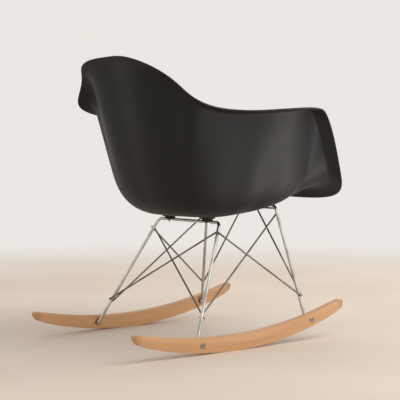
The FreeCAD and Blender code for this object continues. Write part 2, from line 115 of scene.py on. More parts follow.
# Bosses, bolts and mounts
BOSS_DIAMETER = 0.014
BOSS_LENGTH = 0.009
BOSS_CAP = 0.002
BOSS_RECESS_DIAMETER = 0.022
BOSS_RECESS_DEPTH = 0.0025
BOSS_EDGE_ROUND = 0.0009
BOLT_FLANGE_DIAMETER = 0.015
BOLT_FLANGE_THICKNESS = 0.0012
BOLT_HEAD_DIAMETER = 0.011
BOLT_HEAD_HEIGHT = 0.003
BOLT_SOCKET_ACROSS = 0.0062
BOLT_SOCKET_DEPTH = 0.0034
BOLT_RECESS_DIAMETER = 0.016
BOLT_RECESS_DEPTH = 0.0032
BOLT_EDGE_ROUND = 0.0007
MOUNT_TOP_DIAMETER = 0.042
MOUNT_FOOT_DIAMETER = 0.030
MOUNT_FLANGE = 0.003
MOUNT_HEIGHT = 0.009
MOUNT_EDGE_ROUND = 0.0008
SCREW_FLANGE_DIAMETER = 0.015
SCREW_FLANGE_THICKNESS = 0.0015
SCREW_HEAD_ACROSS = 0.009
SCREW_HEAD_HEIGHT = 0.0035
WASHER_EDGE_ROUND = 0.0004
CUTTER_START = 0.002
SMOOTH_ANGLE = 35.0

# Seat shell
SHELL_WALL = 0.005
LIP_ROUND_SHARE = 0.3
SEAT_Y = 0.012
SEAT_Z = 0.336
SEAT_FLAT_RADIUS = 0.028
FOOT_HALF = 0.196
FOOT_BACK = 0.137
FOOT_FRONT = 0.263
FOOT_SQUARENESS = 2.6
SEAT_RISE_FRONT = 0.066
SEAT_RISE_SIDE = 0.005
SEAT_RISE_BACK = 0.032
SEAT_RISE_POWER = 1.7
CURVE_LIMIT = 0.45
SEAT_CURVE_LIMIT = 0.9
NET_AROUND = 40
FOOT_STEPS = 5
WALL_STEPS = 3
ROLL_STEPS = 4
POLE_TURNS = 24
SHELL_SMOOTHING = 2

# Edge of the shell from the middle of the front to the middle of the back, on the sitter's right
EDGE_STATIONS = (
    ("front", 0.0, -0.347, 0.383),
    ("front corner", -0.211, -0.3695, 0.398),
    ("arm rises", -0.269, -0.318, 0.456),
    ("arm front", -0.293, -0.240, 0.611),
    ("arm turns back", -0.321, -0.187, 0.622),
    ("arm", -0.305, -0.009, 0.613),
    ("arm back", -0.277, 0.129, 0.620),
    ("arm ends", -0.272, 0.181, 0.636),
    ("shoulder", -0.249, 0.201, 0.660),
    ("back side", -0.194, 0.222, 0.703),
    ("back corner", -0.111, 0.267, 0.744),
    ("back", 0.0, 0.267, 0.754),
)

# Section by direction, 0 to the front and 180 to the back: how far the edge stands out past the
# wall's top, how far it hangs below it, the reach of the curves at the wall's top and foot, and how
# far the foot stands out from its plain outline
SECTION_STATIONS = (
    (0.0, 0.022, 0.034, 0.016, 0.060, 1.0),
    (32.0, 0.028, 0.024, 0.012, 0.050, 1.26),
    (50.0, 0.043, 0.010, 0.012, 0.070, 1.31),
    (72.0, 0.040, 0.004, 0.016, 0.080, 1.10),
    (100.0, 0.038, 0.005, 0.020, 0.085, 1.0),
    (124.0, 0.048, 0.013, 0.026, 0.089, 1.0),
    (148.0, 0.024, -0.006, 0.040, 0.100, 1.0),
    (180.0, 0.020, -0.005, 0.040, 0.100, 1.0),
)


# Finishes

class Field:
    """A number that changes over a surface."""

    def __init__(self, finish, socket):
        self.finish = finish
        self.socket = socket

    def math(self, operation, *values):
        return self.finish.add("ShaderNodeMath", {"operation": operation}, dict(enumerate(values)))

    def __add__(self, other):
        return self.math("ADD", self, other)

    def __sub__(self, other):
        return self.math("SUBTRACT", self, other)

    def __rsub__(self, other):
        return self.math("SUBTRACT", other, self)

    def __mul__(self, other):
        return self.math("MULTIPLY", self, other)

    def __pow__(self, other):
        return self.math("POWER", self, other)

    __radd__ = __add__
    __rmul__ = __mul__

    def eased(self, low, high):
        """0 below the low value and 1 above the high value."""
        settings = {"interpolation_type": "SMOOTHSTEP"}
        return self.finish.add("ShaderNodeMapRange", settings, {0: self, 1: low, 2: high, 3: 0.0, 4: 1.0})


class Finish:
    """One surface finish with its nodes."""

    def __init__(self, name):
        self.material = bpy.data.materials.new(name)
        self.material.use_nodes = True
        self.tree = self.material.node_tree
        self.shader = next(node for node in self.tree.nodes if node.type == "BSDF_PRINCIPLED")
        self.place = self.add("ShaderNodeTexCoord", {}, {}, "Object")

    def add(self, kind, settings, inputs, output=0):
        node = self.tree.nodes.new(kind)
        for name, value in settings.items():
            setattr(node, name, value)
        for name, value in inputs.items():
            self.feed(node.inputs[name], value)
        return Field(self, node.outputs[output])

    def feed(self, socket, value):
        if isinstance(value, Field):
            self.tree.links.new(value.socket, socket)
        else:
            socket.default_value = value

    def set(self, **inputs):
        for name, value in inputs.items():
            self.feed(self.shader.inputs[name.replace("_", " ").title().replace("Ior", "IOR")], value)
        return self.material

    def noise(self, scale, detail=2.0, where=None, roughness=0.5):
        inputs = {"Vector": where or self.place, "Scale": scale, "Detail": detail, "Roughness": roughness}
        return self.add("ShaderNodeTexNoise", {}, inputs)

    def colour(self, share, first, second):
        settings = {"data_type": "RGBA"}
        return self.add("ShaderNodeMix", settings, {0: share, 6: first, 7: second}, 2)

    def axes(self, where=None):
        vector = where or self.place
        return [self.add("ShaderNodeSeparateXYZ", {}, {0: vector}, k) for k in range(3)]

    def point(self, x, y, z):
        return self.add("ShaderNodeCombineXYZ", {}, {0: x, 1: y, 2: z})

    def bump(self, height, strength, depth):
        return self.add("ShaderNodeBump", {}, {"Strength": strength, "Distance": depth, "Height": height})


def tone(red, green, blue):
    """A colour named by its display values, 0 to 255."""
    linear = []
    for value in (red, green, blue):
        share = value / 255
        linear.append(share / 12.92 if share < 0.04045 else ((share + 0.055) / 1.055) ** 2.4)
    return (*linear, 1.0)


WALL_TONE = tone(235, 231, 226)
FLOOR_TONE = tone(222, 206, 190)
FLOOR_LIGHT = tone(230, 216, 201)
SKY_COLOUR = (1.0, 0.985, 0.96, 1.0)
SKY_STRENGTH = 0.72
LAMP_COLOUR = (1.0, 0.97, 0.93)
FLOOR_RADIUS = 40.0
FLOOR_FADE = (1.3, 3.4)

# Lamps by name: place, the point they face, size, power and spread
LAMPS = (
    ("window", (-1.2, -2.2, 2.7), (0.0, 0.0, 0.4), 2.0, 44.0, 180.0),
    ("fill", (-2.3, -1.1, 1.3), (0.0, 0.0, 0.4), 1.8, 13.0, 180.0),
    ("glow", (-0.80, -0.50, 0.16), (-0.29, -0.10, 0.50), 0.40, 0.75, 60.0),
)


def moulded_plastic():
    """Charcoal plastic with the fine spark-eroded grain of the mould."""
    finish = Finish("moulded_plastic")
    grain = finish.noise(1400.0, 3.0)
    patches = finish.noise(7.0, 3.0)
    handling = finish.noise(38.0, 4.0)
    shade = finish.colour(patches, tone(27, 27, 27), tone(32, 32, 32))
    finish.set(base_color=shade, roughness=0.46 + 0.10 * handling + 0.06 * grain)
    height = grain + 0.35 * finish.noise(420.0, 2.0)
    return finish.set(normal=finish.bump(height, 0.22, 0.0002), ior=1.33, specular_ior_level=0.4)


def black_rubber():
    finish = Finish("black_rubber")
    dust = finish.noise(90.0, 4.0)
    shade = finish.colour(dust, tone(20, 20, 20), tone(38, 37, 36))
    finish.set(base_color=shade, roughness=0.72 + 0.16 * dust)
    return finish.set(normal=finish.bump(finish.noise(900.0, 2.0), 0.3, 0.0002))


def bright_plating(name, low, high):
    """Plated steel rod with faint drawing lines and wiped smudges."""
    finish = Finish(name)
    smudge = finish.noise(24.0, 4.0).eased(0.35, 0.75)
    speck = finish.noise(260.0, 2.0)
    shade = finish.colour(smudge, tone(*high), tone(*low))
    finish.set(base_color=shade, metallic=1.0, roughness=0.13 + 0.12 * smudge + 0.04 * speck)
    return finish.set(normal=finish.bump(speck, 0.08, 0.0002))


def plated_steel():
    finish = Finish("plated_steel")
    wear = finish.noise(300.0, 3.0)
    shade = finish.colour(wear, tone(150, 147, 142), tone(196, 193, 188))
    return finish.set(base_color=shade, metallic=1.0, roughness=0.24 + 0.14 * wear)


def lacquered_beech():
    """Beech whose grain follows the bend, with short dark flecks and darker sawn ends."""
    finish = Finish("lacquered_beech")
    x, y, z = finish.axes()
    back = y - TOUCH_Y
    up = ROCKER_RADIUS - z
    along = back.math("ARCTAN2", back, up) * ROCKER_RADIUS
    across = (back * back + up * up) ** 0.5
    broad = finish.noise(1.0, 3.0, finish.point(x * 55, along * 3.2, across * 70))
    lines = finish.noise(1.0, 4.0, finish.point(x * 420, along * 7.0, across * 520), 0.6)
    fleck = finish.noise(1.0, 1.0, finish.point(x * 900, along * 120, across * 900))
    flecks = fleck.eased(0.66, 0.74)
    honey = finish.colour(broad.eased(0.3, 0.7), tone(214, 167, 120), tone(204, 155, 108))
    lined = finish.colour(lines.eased(0.45, 0.8) * 0.35, honey, tone(180, 130, 86))
    flecked = finish.colour(flecks * 0.4, lined, tone(140, 92, 56))
    from_middle = along.math("ABSOLUTE", along + MIDDLE_TO_TOUCH)
    ends = from_middle.eased(ROCKER_LENGTH / 2 - 0.008, ROCKER_LENGTH / 2 - 0.001)
    wood = finish.colour(ends * 0.35, flecked, tone(160, 110, 70))
    rough = 0.36 + 0.14 * lines + 0.10 * flecks
    height = 1.0 - (0.6 * flecks + 0.4 * lines)
    finish.set(base_color=wood, roughness=rough, coat_weight=0.05, coat_roughness=0.4)
    return finish.set(normal=finish.bump(height, 0.18, 0.0003))


# Working a piece

def finished(name, mesh, material, body_node, smooth_angle=SMOOTH_ANGLE):
    """Makes a worked mesh the piece that stands for its solid and rides with the chair."""
    bmesh.ops.remove_doubles(mesh, verts=mesh.verts, dist=1e-6)
    bmesh.ops.recalc_face_normals(mesh, faces=mesh.faces)
    data = bpy.data.meshes.new(name)
    mesh.to_mesh(data)
    mesh.free()
    data.polygons.foreach_set("use_smooth", [True] * len(data.polygons))
    data.set_sharp_from_angle(angle=radians(smooth_angle))
    data.materials.append(material)
    piece = bpy.data.objects.new(name, data)
    bpy.context.scene.collection.objects.link(piece)
    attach(piece, "root")
    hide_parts(body_node)
    return piece


def keep_worked(piece):
    """Keeps the mesh that the piece's modifiers make, and takes the modifiers off."""
    bpy.context.view_layer.update()
    worked = bpy.data.meshes.new_from_object(piece.evaluated_get(bpy.context.evaluated_depsgraph_get()))
    piece.modifiers.clear()
    piece.data = worked


def facing(direction, start):
    """The turn and place that take +Z at the origin to a direction at a start."""
    return Matrix.Translation(start) @ UP.rotation_difference(direction).to_matrix().to_4x4()


def turned(mesh, profile, start, direction, sides=48):
    """Turns a profile of radius and height pairs about an axis."""
    before = set(mesh.verts)
    points = [mesh.verts.new((radius, 0, height)) for radius, height in profile]
    edges = [mesh.edges.new(pair) for pair in zip(points, points[1:])]
    bmesh.ops.spin(mesh, geom=points + edges, cent=(0, 0, 0), axis=UP, angle=2 * pi, steps=sides,
                   use_merge=True)
    fresh = [vert for vert in mesh.verts if vert not in before]
    bmesh.ops.transform(mesh, matrix=facing(direction, start), verts=fresh)


def rounded(corners, size, steps=4):
    """A profile with its inner corners rounded by a radius."""
    points = [corners[0]]
    for before, corner, after in zip(corners, corners[1:], corners[2:]):
        here = Vector(corner)
        into = Vector(before) - here
        out = Vector(after) - here
        reach = min(size, into.length * 0.45, out.length * 0.45)
        first = here + into.normalized() * reach
        last = here + out.normalized() * reach
        for k in range(steps + 1):
            share = k / steps
            bend = first * (1 - share) ** 2 + here * 2 * share * (1 - share) + last * share ** 2
            points.append(tuple(bend))
    return points + [corners[-1]]


def ring_of(geometry):
    return [item for item in geometry if isinstance(item, bmesh.types.BMEdge)]


def bent_rod(mesh, points, bend, diameter, spacing, sides):
    """Draws a round section along straight runs and round tangent bends."""
    start = points[0]
    way = (points[1] - start).normalized()
    circle = bmesh.ops.create_circle(mesh, cap_ends=False, radius=diameter / 2, segments=sides,
                                     matrix=facing(way, start))
    ring = list({edge for vert in circle["verts"] for edge in vert.link_edges})
    bmesh.ops.edgeloop_fill(mesh, edges=ring)
    stops = []
    for before, corner, after in zip(points, points[1:], points[2:]):
        into = (before - corner).normalized()
        out = (after - corner).normalized()
        half = into.angle(out) / 2
        tangent = bend / tan(half)
        centre = corner + (into + out).normalized() * bend / sin(half)
        stops.append((corner + into * tangent, centre, into.cross(out).normalized(), pi - 2 * half,
                      corner + out * tangent))
    for reach, centre, axis, angle, leave in stops:
        ring = straight_run(mesh, ring, reach - start, spacing)
        loop = list({vert for edge in ring for vert in edge.verts}) + ring
        turn = bmesh.ops.spin(mesh, geom=loop, cent=centre, axis=axis, angle=-angle, steps=BEND_STEPS)
        ring = ring_of(turn["geom_last"])
        start = leave
    ring = straight_run(mesh, ring, points[-1] - start, spacing)
    bmesh.ops.edgeloop_fill(mesh, edges=ring)


def straight_run(mesh, ring, run, spacing):
    count = max(1, round(run.length / spacing))
    for _ in range(count):
        drawn = bmesh.ops.extrude_edge_only(mesh, edges=ring)["geom"]
        verts = [item for item in drawn if isinstance(item, bmesh.types.BMVert)]
        fresh = set(verts)
        ring = [edge for edge in ring_of(drawn) if edge.verts[0] in fresh and edge.verts[1] in fresh]
        bmesh.ops.translate(mesh, verts=verts, vec=run / count)
    return ring


# Places taken from the solids

def middle(node):
    low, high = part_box(node)
    return (low + high) / 2


def side_name(side):
    return "left" if side > 0 else "right"


def leg_foot(end, side):
    """Where a leg's centre line ends, inside its boss."""
    low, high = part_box("leg_boss_%s_%s" % (end, side_name(side)))
    inner = min(abs(low.x), abs(high.x))
    here = (low + high) / 2
    return Vector((side * (inner + BOSS_LENGTH / 2), here.y, here.z))


def leg_top(end, side):
    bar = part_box("%s_leg_frame" % end)[1].z - ROD / 2
    half = REAR_TOP_HALF if end == "rear" else FRONT_TOP_HALF
    return Vector((side * half, middle("mount_screw_%s_left" % end).y, bar))


def at_height(low, high, z):
    return low + (high - low) * ((z - low.z) / (high.z - low.z))


# Pieces of the base

def leg_frame(end, chrome):
    """One rod with its two pressed pads under the mounts."""
    mesh = bmesh.new()
    points = [leg_foot(end, -1), leg_top(end, -1), leg_top(end, 1), leg_foot(end, 1)]
    bent_rod(mesh, points, BEND_RADIUS, ROD, ROD_STEP, ROD_SIDES)
    bar = points[1]
    for side in (-1, 1):
        pad_x = middle("mount_screw_%s_%s" % (end, side_name(side))).x
        for vert in mesh.verts:
            if abs(vert.co.z - bar.z) > ROD:
                continue
            beyond = abs(vert.co.x - pad_x) - (PAD_LENGTH / 2 - PAD_EASE)
            press = 1 - min(max(beyond / PAD_EASE, 0), 1)
            press = press * press * (3 - 2 * press)
            if press > 0:
                vert.co.z = bar.z + (vert.co.z - bar.z) * (1 + (PAD_THICKNESS / ROD - 1) * press)
                vert.co.y = bar.y + (vert.co.y - bar.y) * (1 + (PAD_WIDTH / ROD - 1) * press)
    name = "%s_leg_frame" % end
    return finished(name + "_rod", mesh, chrome, name)


def weld(mesh, place, along):
    """A small bead where a wire lies against a rod."""
    shape = Matrix.Diagonal((*WELD_SIZE, 1.0))
    bmesh.ops.create_uvsphere(mesh, u_segments=16, v_segments=10, radius=1.0,
                              matrix=facing(along, place) @ shape)


def wire_piece(node, start, end, welds, chrome):
    mesh = bmesh.new()
    bent_rod(mesh, [start, end], BEND_RADIUS, WIRE, WIRE_STEP, WIRE_SIDES)
    rims = [edge for edge in mesh.edges if edge.calc_face_angle(0) > 1.0]
    bmesh.ops.bevel(mesh, geom=rims, offset=WIRE_END_ROUND, segments=2, profile=0.5, affect="EDGES",
                    material=-1)
    for place in welds:
        weld(mesh, place, (end - start).normalized())
    return finished(node + "_rod", mesh, chrome, node)


def lapped_wire(node, low_leg, low_z, high_leg, high_z, side, chrome):
    """A straight wire laid against two legs, on one side of both."""
    low = at_height(*low_leg, low_z)
    high = at_height(*high_leg, high_z)
    along = (high - low).normalized()
    reach = (ROD + WIRE) / 2 + WELD_GAP
    low_out = along.cross(low_leg[1] - low_leg[0]).normalized() * side
    high_out = along.cross(high_leg[1] - high_leg[0]).normalized() * side
    start = low + low_out * reach - along * WIRE_PAST_LEG
    end = high + high_out * reach + along * WIRE_PAST_LEG
    welds = (low + low_out * ROD / 2, high + high_out * ROD / 2)
    return wire_piece(node, start, end, welds, chrome)


def spreader_points(leg):
    z = leg[1].z - SPREADER_BELOW_BAR
    at_leg = at_height(*leg, z)
    turn = Vector((SPREADER_HALF, at_leg.y - SPREADER_REACH, z))
    axis = Vector((abs(at_leg.x), at_leg.y, z))
    end = axis + (turn - axis).normalized() * (ROD / 2 - 0.0004)
    return [Vector((-end.x, end.y, end.z)), Vector((-turn.x, turn.y, turn.z)), turn, end]


def front_spreader(leg, chrome):
    mesh = bmesh.new()
    points = spreader_points(leg)
    bent_rod(mesh, points, SPREADER_BEND, WIRE, WIRE_STEP, WIRE_SIDES)
    for end, turn in (points[:2], points[:1:-1]):
        weld(mesh, end, (turn - end).normalized())
    return finished("front_spreader_rod", mesh, chrome, "front_spreader")


def front_wire(side, leg, chrome):
    low = at_height(*leg, FRONT_LOW_Z)
    spreader = spreader_points(leg)[1]
    target = Vector((side * FRONT_WIRE_HALF, spreader.y, spreader.z))
    along = (target - low).normalized()
    low_out = along.cross(leg[1] - leg[0]).normalized()
    if low_out.y > 0:
        low_out = -low_out
    high_out = along.cross(ALONG_X).normalized()
    if high_out.y < 0:
        high_out = -high_out
    start = low + low_out * ((ROD + WIRE) / 2 + WELD_GAP) - along * WIRE_PAST_LEG
    end = target + high_out * (WIRE + WELD_GAP) + along * WIRE_PAST_LEG
    welds = (low + low_out * ROD / 2, target + high_out * WIRE / 2)
    return wire_piece("front_wire_" + side_name(side), start, end, welds, chrome)


def leg_boss(end, side, steel):
    node = "leg_boss_%s_%s" % (end, side_name(side))
    low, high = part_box(node)
    here = (low + high) / 2
    seat = Vector((low.x if side < 0 else high.x, here.y, here.z))
    length = high.x - low.x
    radius = BOSS_DIAMETER / 2
    profile = [(0, 0), (radius, 0), (radius, length - BOSS_CAP), (radius - BOSS_CAP, length - BOSS_CAP * 0.6),
               (radius - BOSS_CAP, length), (0, length)]
    mesh = bmesh.new()
    turned(mesh, rounded(profile, BOSS_EDGE_ROUND), seat, ALONG_X * -side)
    return finished(node + "_turned", mesh, steel, node)


def hexagon(verts, centre, direction, across):
    """Moves a ring of points onto a hexagon."""
    back = facing(direction, centre).inverted()
    for vert in verts:
        flat = back @ vert.co
        angle = atan2(flat.y, flat.x)
        reach = across / 2 / cos((angle % (pi / 3)) - pi / 6)
        scale = reach / hypot(flat.x, flat.y)
        vert.co = facing(direction, centre) @ Vector((flat.x * scale, flat.y * scale, flat.z))


def rocker_bolt(end, side, steel):
    """Flanged round head with a hexagon socket."""
    node = "rocker_bolt_%s_%s" % (end, side_name(side))
    low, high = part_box(node)
    here = (low + high) / 2
    outward = ALONG_X * side
    tip = high.x if side > 0 else -low.x
    seat = Vector((side * (tip - BOLT_HEAD_HEIGHT - BOLT_FLANGE_THICKNESS), here.y, here.z))
    flange = BOLT_FLANGE_DIAMETER / 2
    head = BOLT_HEAD_DIAMETER / 2
    top = BOLT_FLANGE_THICKNESS + BOLT_HEAD_HEIGHT
    socket = BOLT_SOCKET_ACROSS / 2
    base = top - BOLT_SOCKET_DEPTH
    profile = [(0, 0), (flange, 0), (flange, BOLT_FLANGE_THICKNESS), (head, BOLT_FLANGE_THICKNESS),
               (head, top), (socket * 1.3, top), (socket * 1.15, top - 0.0002), (socket, base), (0, base)]
    mesh = bmesh.new()
    turned(mesh, rounded(profile, BOLT_EDGE_ROUND), seat, outward, 60)
    back = facing(outward, seat).inverted()
    inner = []
    for vert in mesh.verts:
        flat = back @ vert.co
        if 1e-5 < hypot(flat.x, flat.y) < socket * 1.16 and flat.z > base - 1e-5:
            inner.append(vert)
    hexagon(inner, seat, outward, BOLT_SOCKET_ACROSS)
    return finished(node + "_turned", mesh, steel, node)


def shock_mount(end, side, rubber):
    """Puck with a narrow foot and a flange pressed to the shell's slope."""
    node = "shock_mount_%s_%s" % (end, side_name(side))
    solid = frame["nodes"][node]
    low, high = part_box(node)
    here = (low + high) / 2
    base = Vector((here.x, here.y, low.z))
    top = high.z - low.z
    foot = MOUNT_FOOT_DIAMETER / 2
    flange = MOUNT_TOP_DIAMETER / 2
    profile = [(0, 0), (foot, 0), (foot, MOUNT_HEIGHT - MOUNT_FLANGE), (flange, MOUNT_HEIGHT - MOUNT_FLANGE),
               (flange, top), (0, top)]
    mesh = bmesh.new()
    turned(mesh, rounded(profile, MOUNT_EDGE_ROUND), base, UP)
    # the slope of the solid's upper face, from its largest facet above the flange
    corners = solid.data.vertices
    raised = [face for face in solid.data.polygons if face.normal.z > 0.5 and face.center.z > low.z + 0.004]
    sloped = max(raised, key=lambda face: face.area)
    point = corners[sloped.vertices[0]].co
    bmesh.ops.bisect_plane(mesh, geom=mesh.verts[:] + mesh.edges[:] + mesh.faces[:], plane_co=point,
                           plane_no=sloped.normal, clear_outer=True)
    rim = [edge for edge in mesh.edges if edge.is_boundary]
    bmesh.ops.edgeloop_fill(mesh, edges=rim)
    return finished(node + "_moulded", mesh, rubber, node)


def mount_screw(end, side, steel):
    node = "mount_screw_%s_%s" % (end, side_name(side))
    here = middle(node)
    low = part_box(node)[0].z
    seat = Vector((here.x, here.y, low + SCREW_HEAD_HEIGHT + SCREW_FLANGE_THICKNESS))
    flange = SCREW_FLANGE_DIAMETER / 2
    mesh = bmesh.new()
    washer = [(0, 0), (flange, 0), (flange, SCREW_FLANGE_THICKNESS * 0.5),
              (flange * 0.7, SCREW_FLANGE_THICKNESS), (0, SCREW_FLANGE_THICKNESS)]
    turned(mesh, rounded(washer, WASHER_EDGE_ROUND), seat, -UP)
    corner = SCREW_HEAD_ACROSS / 2 / cos(pi / 6)
    top = SCREW_FLANGE_THICKNESS + SCREW_HEAD_HEIGHT
    head = [(0, SCREW_FLANGE_THICKNESS), (corner, SCREW_FLANGE_THICKNESS), (corner, top - 0.0006),
            (corner * 0.84, top), (0, top)]
    turned(mesh, head, seat, -UP, 6)
    return finished(node + "_turned", mesh, steel, node)


# Rockers

def rocker_top_radius():
    half = ROCKER_LENGTH / 2
    drop = ROCKER_RADIUS - sqrt(ROCKER_RADIUS ** 2 - half ** 2)
    rise = drop + ROCKER_DEPTH_END - ROCKER_DEPTH_MIDDLE
    return (half ** 2 + rise ** 2) / (2 * rise)


def rocker_depth(y):
    """Underside and top of the level rocker at a distance from its middle."""
    top_radius = rocker_top_radius()
    nose = max(0, abs(y) - ROCKER_LENGTH / 2 + NOSE_LENGTH) / NOSE_LENGTH
    low = ROCKER_RADIUS - sqrt(ROCKER_RADIUS ** 2 - y ** 2) + NOSE_LIFT * nose ** 2
    high = ROCKER_DEPTH_MIDDLE + top_radius - sqrt(top_radius ** 2 - y ** 2)
    return low, high - NOSE_DROP * nose ** 2


def rocker(side, beech):
    """Bent beech drawn as a bar whose depth follows the two arcs, with rounded edges and noses."""
    node = "rocker_" + side_name(side)
    half = ROCKER_LENGTH / 2
    body = half - NOSE_END_RUN
    places = [-half] + [-body + 2 * body * k / ROCKER_RUNS for k in range(ROCKER_RUNS + 1)] + [half]
    mesh = bmesh.new()
    bmesh.ops.create_grid(mesh, x_segments=1, y_segments=1, size=ROCKER_WIDTH / 2,
                          matrix=Matrix.Rotation(pi / 2, 4, "X"))
    ring = mesh.edges[:]
    shape_section(mesh.verts, places[0])
    for y in places[1:]:
        drawn = bmesh.ops.extrude_edge_only(mesh, edges=ring)["geom"]
        verts = [item for item in drawn if isinstance(item, bmesh.types.BMVert)]
        fresh = set(verts)
        ring = [edge for edge in ring_of(drawn) if edge.verts[0] in fresh and edge.verts[1] in fresh]
        shape_section(verts, y)
    bmesh.ops.edgeloop_fill(mesh, edges=ring)
    bmesh.ops.recalc_face_normals(mesh, faces=mesh.faces)
    for top, reach in ((False, NOSE_REACH_LOW), (True, NOSE_REACH_TOP)):
        corners = [edge for edge in mesh.edges if edge.calc_face_angle(0) > 1.0 and crosses(edge, half, top)]
        bmesh.ops.bevel(mesh, geom=corners, offset=reach, offset_type="OFFSET", segments=NOSE_SEGMENTS,
                        profile=0.5, affect="EDGES", material=-1, clamp_overlap=True)
    rims = [edge for edge in mesh.edges
            if abs(edge.verts[0].co.x - edge.verts[1].co.x) < 1e-6 and edge.calc_face_angle(0) > 1.0]
    bmesh.ops.bevel(mesh, geom=rims, offset=ROCKER_EDGE_ROUND, offset_type="OFFSET", segments=3, profile=0.5,
                    affect="EDGES", material=-1, clamp_overlap=True)
    lean = Matrix.Rotation(-REST_LEAN, 4, "X")
    centre = Vector((0, 0, ROCKER_RADIUS))
    place = (Matrix.Translation(Vector((side * ROCKER_SPACING / 2, TOUCH_Y, 0)))
             @ Matrix.Translation(centre) @ lean @ Matrix.Translation(-centre))
    bmesh.ops.transform(mesh, matrix=place, verts=mesh.verts)
    piece = finished(node + "_bent", mesh, beech, node)
    for end in ("rear", "front"):
        sink(piece, end, side)
    return piece


def crosses(edge, half, top):
    """Whether an edge is a top or a bottom corner across one of the bar's ends."""
    first, second = (vert.co for vert in edge.verts)
    low, high = rocker_depth(half)
    height = high if top else low
    return all(abs(abs(place.y) - half) < 1e-5 and abs(place.z - height) < 1e-5 for place in (first, second))


def shape_section(verts, y):
    """Takes the four corners of the bar's section to a place along the rocker."""
    middle_z = sum(vert.co.z for vert in verts) / len(verts)
    low, high = rocker_depth(y)
    for vert in verts:
        vert.co.y = y
        vert.co.z = high if vert.co.z > middle_z else low


def sink(piece, end, side):
    """Cuts the round recesses for a boss and a bolt's head."""
    boss = middle("leg_boss_%s_%s" % (end, side_name(side)))
    inner = side * (ROCKER_SPACING - ROCKER_WIDTH) / 2
    outer = side * (ROCKER_SPACING + ROCKER_WIDTH) / 2
    for x, diameter, depth, way in ((inner, BOSS_RECESS_DIAMETER, BOSS_RECESS_DEPTH, side),
                                    (outer, BOLT_RECESS_DIAMETER, BOLT_RECESS_DEPTH, -side)):
        mesh = bmesh.new()
        start = Vector((x - way * CUTTER_START, boss.y, boss.z))
        length = depth + CUTTER_START
        turned(mesh, [(0, 0), (diameter / 2, 0), (diameter / 2, length), (0, length)], start, ALONG_X * way)
        bmesh.ops.recalc_face_normals(mesh, faces=mesh.faces)
        data = bpy.data.meshes.new("cutter")
        mesh.to_mesh(data)
        mesh.free()
        cutter = bpy.data.objects.new("cutter", data)
        bpy.context.scene.collection.objects.link(cutter)
        cut = piece.modifiers.new("recess", "BOOLEAN")
        cut.operation = "DIFFERENCE"
        cut.solver = "EXACT"
        cut.object = cutter
        keep_worked(piece)
        bpy.data.objects.remove(cutter)
    piece.data.polygons.foreach_set("use_smooth", [True] * len(piece.data.polygons))
    piece.data.set_sharp_from_angle(angle=radians(SMOOTH_ANGLE))


# Seat shell

def edge_points():
    """Points at even spacing round the shell's edge, from the middle of the front."""
    stations = np.array([place for _, *place in EDGE_STATIONS])
    moves = np.diff(stations, axis=0)
    runs = np.linalg.norm(moves, axis=1)[:, None]
    pull = np.eye(len(stations))
    slopes = np.zeros((len(stations), 3))
    slopes[0] = (-1, 0, 0)
    slopes[-1] = (1, 0, 0)
    for k in range(1, len(stations) - 1):
        before, after = 1 / runs[k - 1, 0], 1 / runs[k, 0]
        pull[k, k - 1:k + 2] = before, 2 * (before + after), after
        slopes[k] = 3 * (moves[k - 1] * before ** 2 + moves[k] * after ** 2)
    slopes = np.linalg.solve(pull, slopes)
    steps = np.linspace(0, 1, 80, endpoint=False)[:, None]
    fine = [start * (1 + 2 * steps) * (1 - steps) ** 2 + run * slope * steps * (1 - steps) ** 2
            + end * steps ** 2 * (3 - 2 * steps) - run * next_slope * steps ** 2 * (1 - steps)
            for start, end, run, slope, next_slope in zip(stations, stations[1:], runs, slopes, slopes[1:])]
    fine = np.vstack(fine + [stations[-1:]])
    walked = np.concatenate([[0], np.cumsum(np.linalg.norm(np.diff(fine, axis=0), axis=1))])
    wanted = np.linspace(0, walked[-1], NET_AROUND // 2 + 1)
    right = [Vector([np.interp(stop, walked, fine[:, axis]) for axis in range(3)]) for stop in wanted]
    return right + [Vector((-point.x, point.y, point.z)) for point in reversed(right[1:-1])]


def section_sizes(direction):
    """Edge width, edge hang, top curve, foot curve and fullness in one direction, eased between stations."""
    for (angle, *sizes), (next_angle, *next_sizes) in zip(SECTION_STATIONS, SECTION_STATIONS[1:]):
        if direction <= next_angle:
            part = (direction - angle) / (next_angle - angle)
            ease = part * part * (3 - 2 * part)
            return [size + (following - size) * ease for size, following in zip(sizes, next_sizes)]
    return SECTION_STATIONS[-1][1:]


def seat_rise(out_x, out_y):
    side = SEAT_RISE_SIDE * (out_x / FOOT_HALF) ** 2
    if out_y < 0:
        return side + SEAT_RISE_FRONT * (-out_y / FOOT_FRONT) ** SEAT_RISE_POWER
    return side + SEAT_RISE_BACK * (out_y / FOOT_BACK) ** 2


def foot_reach(out_x, out_y):
    length = FOOT_FRONT if out_y < 0 else FOOT_BACK
    squared = (abs(out_x) / FOOT_HALF) ** FOOT_SQUARENESS + (abs(out_y) / length) ** FOOT_SQUARENESS
    return squared ** (-1 / FOOT_SQUARENESS)


def curved_steps(start, corner, end, steps):
    shares = [k / steps for k in range(steps + 1)]
    return [start * (1 - t) ** 2 + corner * (2 * t * (1 - t)) + end * t ** 2 for t in shares]


